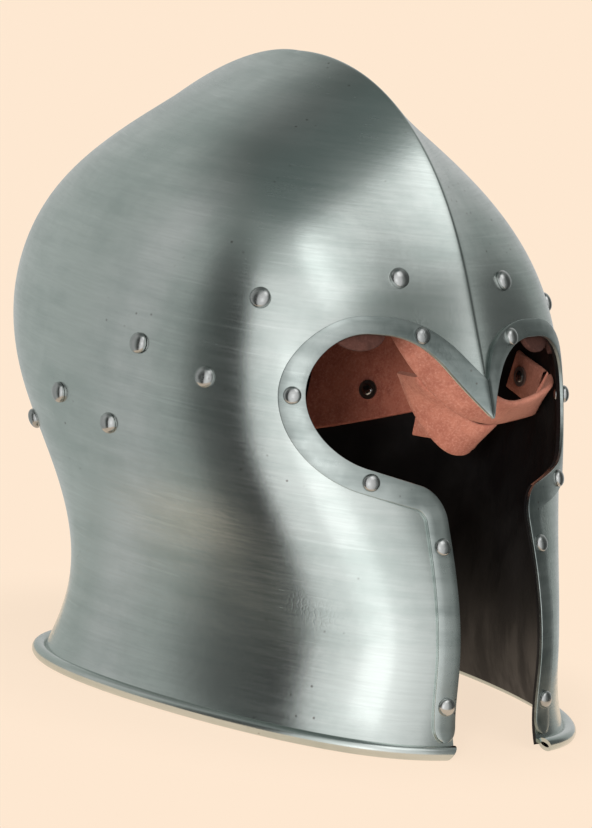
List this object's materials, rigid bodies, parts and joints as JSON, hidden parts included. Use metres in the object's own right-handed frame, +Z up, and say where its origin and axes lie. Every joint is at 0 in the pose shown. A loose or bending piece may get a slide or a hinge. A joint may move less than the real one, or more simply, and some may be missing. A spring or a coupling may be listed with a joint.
{
  "type": "barbute",
  "caption": "Open-faced steel helmet with a medial ridge, almond eye openings joined to a face slit, riveted trim strips, a rolled lower rim and leather liner bands and chin straps.",
  "frame": {"origin": "on the plane of the rim's underside, in the middle plane, below the wearer's head", "axes": "+Z up, -Y out of the face opening, +X to the wearer's left; the helmet stands on its rim"},
  "size_m": [0.2174, 0.3054, 0.2747],
  "materials": {
    "plate_steel": "satin polish, brushed level, with small pits and scratches; black paint inside",
    "trim_steel": "satin polish, a little brighter at the edges",
    "rivet_steel": "polished domes",
    "washer_steel": "plain",
    "liner_leather": "dark brown leather",
    "strap_leather": "reddish brown leather with paler cut edges",
    "buckle_steel": "plain wire"
  },
  "bodies": {
    "root": {"skull": "plate_steel", "face_trim_left": "trim_steel", "face_trim_right": "trim_steel", "trim_rivets_left": "rivet_steel", "trim_rivets_right": "rivet_steel", "liner_rivets": "rivet_steel", "liner_washers": "washer_steel", "liner_brow": "liner_leather", "liner_side_left": "liner_leather", "liner_side_right": "liner_leather", "liner_back": "liner_leather", "chin_strap_front_left": "strap_leather", "chin_strap_rear_left": "strap_leather", "chin_strap_front_right": "strap_leather", "chin_strap_rear_right": "strap_leather", "strap_rivets": "rivet_steel", "strap_washers": "washer_steel", "strap_joint_rivets": "rivet_steel"},
    "buckle_frame": {"buckle_frame": "buckle_steel"},
    "buckle_prong": {"buckle_prong": "buckle_steel"}
  },
  "joints": [
    {"name": "buckle_frame_hinge", "type": "hinge", "parent": "root", "child": "buckle_frame", "pos_m": [-0.08, -0.03, 0.076], "axis": [0, -1, 0], "range_deg": [-5, 60]},
    {"name": "buckle_prong_hinge", "type": "hinge", "parent": "buckle_frame", "child": "buckle_prong", "pos_m": [-0.08, -0.03, 0.076], "axis": [0, -1, 0], "range_deg": [0, 45]}
  ]
}
